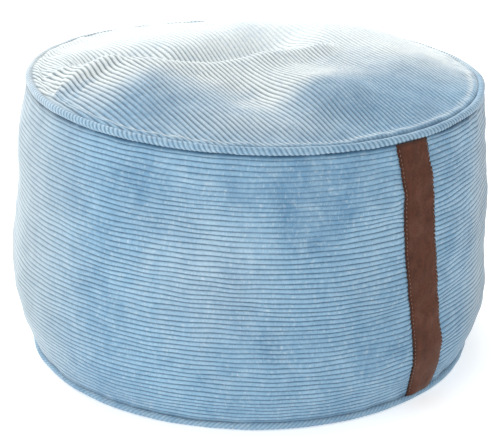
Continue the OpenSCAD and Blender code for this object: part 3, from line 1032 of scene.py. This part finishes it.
def strip_sway(height):
    """How far the sewn strip wanders to one side at a height."""
    wander = 0.45 * MM * ripple(np.stack([0 * height, 0 * height, height], 1), 60 * MM, 42)
    wander += 5 * MM * bell(height - TOP_Z + 48 * MM, 34 * MM)
    return wander + 5 * MM * bell(height - BASE_Z, 30 * MM)


def suede_strip():
    """The strip over the closing seam, its cut edges dipping into the wales' grooves."""
    piece, column, row = unit_grid("brown_strip", STRIP_COLUMNS, STRIP_ROWS)
    across = (column / STRIP_COLUMNS - 0.5) * STRIP_W
    height = STRIP_LOW + row / STRIP_ROWS * (STRIP_HIGH - STRIP_LOW)
    sway = strip_sway(height)
    edge = np.abs(across) / (STRIP_W / 2)
    seam = bell(np.abs(across) - STRIP_W / 2 + STITCH_INSET, 1.6 * MM)
    droop = smooth((edge - 0.90) / 0.10)
    over_groove = (0.5 + 0.5 * np.cos(2 * math.pi * height / WALE)) ** 2 * droop
    uneven_cut = 0.15 * MM * ripple(height[:, None] * np.ones(3), 6 * MM, 43)
    pull = np.sign(across) * (0.7 * MM * over_groove + uneven_cut)
    lift = STRIP_LIFT + STRIP_THICK - 0.55 * MM * seam - 0.3 * MM * droop - 0.6 * MM * over_groove
    move_to(piece, on_strip(across + sway - pull * droop, height, lift))
    # Painted shade: darker along the stitch lines and the drooping cut edges, over the grooves, and
    # where the strip goes under the top piping.
    tucked = smooth((height - TOP_Z + 8 * MM) / (5 * MM))
    note(piece, "edge", np.clip(0.6 * seam + 0.6 * droop + 0.6 * over_groove + tucked, 0, 1))
    solid_cloth(piece, STRIP_THICK)
    bevel = piece.modifiers.new("Edges", "BEVEL")
    bevel.width = 0.35 * MM
    bevel.segments = 2
    bevel.angle_limit = math.radians(50)
    finish_piece(piece, "suede_strip", SUEDE)


def stitches(name, node, across):
    """A row of short stitches sunk along one edge of the strip."""
    bm = bmesh.new()
    heights = np.arange(STITCH_LOW, STITCH_HIGH, STITCH_PITCH)
    lift = STRIP_LIFT + STRIP_THICK - 0.25 * MM
    low = on_strip(across + strip_sway(heights), heights - STITCH_LENGTH / 2, lift)
    high = on_strip(across + strip_sway(heights), heights + STITCH_LENGTH / 2, lift)
    for start, end in zip(low, high):
        middle, way = Vector((start + end) / 2), Vector(end - start)
        made = bmesh.ops.create_uvsphere(bm, u_segments=8, v_segments=6, radius=STITCH_R)["verts"]
        bmesh.ops.scale(bm, vec=(1, 1, way.length / (2 * STITCH_R)), verts=made)
        turn = Vector((0, 0, 1)).rotation_difference(way)
        bmesh.ops.rotate(bm, cent=(0, 0, 0), matrix=turn.to_matrix(), verts=made)
        bmesh.ops.translate(bm, vec=middle, verts=made)
    finish_piece(as_object(name, bm), node, THREAD)


# ---- Zip --------------------------------------------------------------------------------

COIL_PITCH = 1.6 * MM
LINER_SLIT = 0.8 * MM


def coil(name, node, slot, material, boxes):
    """The nylon coil of a zip: a flattened loop at every tooth, in each of the boxes."""
    bm = bmesh.new()
    for low, high in boxes:
        middle = [(l + h) / 2 for l, h in zip(low, high)]
        wide, tall = (high[1] - low[1]) / 2, (high[2] - low[2]) / 2
        made = bmesh.ops.create_uvsphere(bm, u_segments=10, v_segments=6, radius=1)["verts"]
        bmesh.ops.scale(bm, vec=(0.44 * COIL_PITCH, wide * 0.98, tall * 0.98), verts=made)
        bmesh.ops.translate(bm, vec=(low[0] + COIL_PITCH / 2, middle[1], middle[2]), verts=made)
    piece = as_object(name, bm)
    row = piece.modifiers.new("Teeth", "ARRAY")
    row.count = int((high[0] - low[0]) / COIL_PITCH)
    row.use_relative_offset = False
    row.use_constant_offset = True
    row.constant_offset_displace = (COIL_PITCH, 0, 0)
    finish_piece(piece, node, material)


def liner_coil_boxes():
    """The boxes of the inner zip's two coils, one on each side of its slit."""
    low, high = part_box("liner_zip_coils")
    middle = (low[1] + high[1]) / 2
    return [((low[0], low[1], low[2]), (high[0], middle - LINER_SLIT, high[2])),
            ((low[0], middle + LINER_SLIT, low[2]), (high[0], high[1], high[2]))]


# ---- Inner pieces -------------------------------------------------------------------------

LONGEST_EDGE = 12 * MM
INNER_GAP = 1.5 * MM
CORD_SEEDS = {"top_piping_cord": TOP_SEED, "base_piping_cord": BASE_SEED}


def inner_copy(name, node, material):
    """A settled copy of a soft CAD piece that the cover hides."""
    bm = bmesh.new()
    bm.from_mesh(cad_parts[node].data)
    bmesh.ops.remove_doubles(bm, verts=bm.verts, dist=0.01 * MM)
    for _ in range(3):
        long_edges = [e for e in bm.edges if e.calc_length() > LONGEST_EDGE]
        if not long_edges:
            break
        bmesh.ops.subdivide_edges(bm, edges=long_edges, cuts=1)
        bmesh.ops.triangulate(bm, faces=[f for f in bm.faces if len(f.verts) > 3])
    piece = as_object(name, bm)
    points = coords(piece)
    radius = np.hypot(points[:, 0], points[:, 1])
    if node in CORD_SEEDS:
        grow = 1 + piping_sway(np.arctan2(points[:, 1], points[:, 0]), CORD_SEEDS[node]) / radius
        points[:, :2] *= grow[:, None]
    else:
        sunk = dome_height(radius) - cad_dome_height(radius) - INNER_GAP
        points[:, 2] += sunk * near_the_top(points[:, 2])
    move_to(piece, settle(points))
    finish_piece(piece, node, material)


METAL_NODES = (
    "zip_slider",
    "zip_pull",
    "zip_top_stops",
    "zip_bottom_stop",
    "liner_zip_stops",
    "liner_zip_slider",
)


def paint(node, material):
    """Gives a CAD node, whose shape stays, a material of its own."""
    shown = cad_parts[node]
    shown.data.materials.clear()
    shown.data.materials.append(material)


# ---- Stage ----------------------------------------------------------------------------------

CAMERA_AWAY = 1.750
CAMERA_UP = 0.8494
CAMERA_PITCH = 22.45
CAMERA_ROLL = 0.6
CAMERA_LENS = 126.9
SENSOR_WIDTH = 36
FLOOR_HALF = 6
FLOOR_GLOW = 0.42
WORLD_LIGHT = 0.80
LAMP_AIM = (0, 0, 0.2)
# Lamps: name, right, away, up and size in metres, power in watts
LAMPS = (
    ("window_behind_left", -1.3, 2.2, 1.9, 2.2, 74),
    ("soft_front_left", -1.9, -1.8, 1.3, 1.8, 22),
    ("soft_above", -0.2, 0.5, 2.4, 1.6, 14),
)


def set_camera():
    data = bpy.data.cameras.new("camera")
    data.lens = CAMERA_LENS
    data.sensor_width = SENSOR_WIDTH
    camera = bpy.data.objects.new("camera", data)
    bpy.context.scene.collection.objects.link(camera)
    place = -CAMERA_AWAY * AWAY
    camera.location = (place[0], place[1], CAMERA_UP)
    camera.rotation_euler = (math.radians(90 - CAMERA_PITCH), 0, VIEW_TURN)
    camera.rotation_euler.rotate_axis("Z", math.radians(CAMERA_ROLL))
    bpy.context.scene.camera = camera


def lamp(name, right, away, up, size, power):
    """A soft round lamp, placed in metres from the seat's middle and turned to face it."""
    data = bpy.data.lights.new(name, "AREA")
    data.shape = "DISK"
    data.size = size
    data.energy = power
    light = bpy.data.objects.new(name, data)
    bpy.context.scene.collection.objects.link(light)
    place = RIGHT * right + AWAY * away + np.array([0, 0, up])
    light.location = place
    light.rotation_euler = (Vector(LAMP_AIM) - Vector(place)).to_track_quat("-Z", "Y").to_euler()


def set_stage():
    bm = bmesh.new()
    bmesh.ops.create_grid(bm, x_segments=4, y_segments=4, size=FLOOR_HALF)
    floor = as_object("stage_floor", bm)
    paper = Finish("pale_floor", Roughness=0.9, Emission_Strength=FLOOR_GLOW)
    tone = paper.mix(paper.noise(2.0), (0.86, 0.86, 0.86), (0.90, 0.90, 0.90))
    floor.data.materials.append(paper.feed("Base Color", tone).material)
    world = bpy.data.worlds.new("studio")
    world.use_nodes = True
    sky = world.node_tree.nodes["Background"]
    sky.inputs["Color"].default_value = (1, 1, 1, 1)
    sky.inputs["Strength"].default_value = WORLD_LIGHT
    bpy.context.scene.world = world
    bpy.context.scene.view_settings.view_transform = "Standard"
    for row in LAMPS:
        lamp(*row)


# ---- Making ---------------------------------------------------------------------------------

set_camera()
side_band()
piping("top_piping", "top_piping_cover", TOP_Z, TOP_SEED, TOP_SLANT)
piping("base_piping", "base_piping_cover", BASE_Z, BASE_SEED, BASE_SLANT)
top_panel()
base_panel("base_front_corduroy", "base_panel_front", -1)
base_panel("base_rear_corduroy", "base_panel_rear", 1)
suede_strip()
stitches("left_stitches", "strip_stitching_left", STITCH_INSET - STRIP_W / 2)
stitches("right_stitches", "strip_stitching_right", STRIP_W / 2 - STITCH_INSET)
for side in ("front", "rear"):
    coil(f"{side}_coil", f"zip_coil_{side}", "zip_coil", COIL, [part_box(f"zip_coil_{side}")])
coil("inner_bag_coils", "liner_zip_coils", "liner_tape", LINER_COIL, liner_coil_boxes())
inner_copy("top_cord", "top_piping_cord", COTTON)
inner_copy("base_cord", "base_piping_cord", COTTON)
inner_copy("inner_bag_top", "liner_top", CALICO)
inner_copy("inner_bag_side", "liner_side", CALICO)
inner_copy("inner_bag_base", "liner_base", CALICO)
inner_copy("loose_beads", "bead_filling", BEADS)
for tape in ("zip_tape_front", "zip_tape_rear"):
    paint(tape, ZIP_TAPE)
for bit in METAL_NODES:
    paint(bit, METAL)
paint("zip_stitching", THREAD)
paint("liner_zip_tapes", LINER_TAPE)
set_stage()
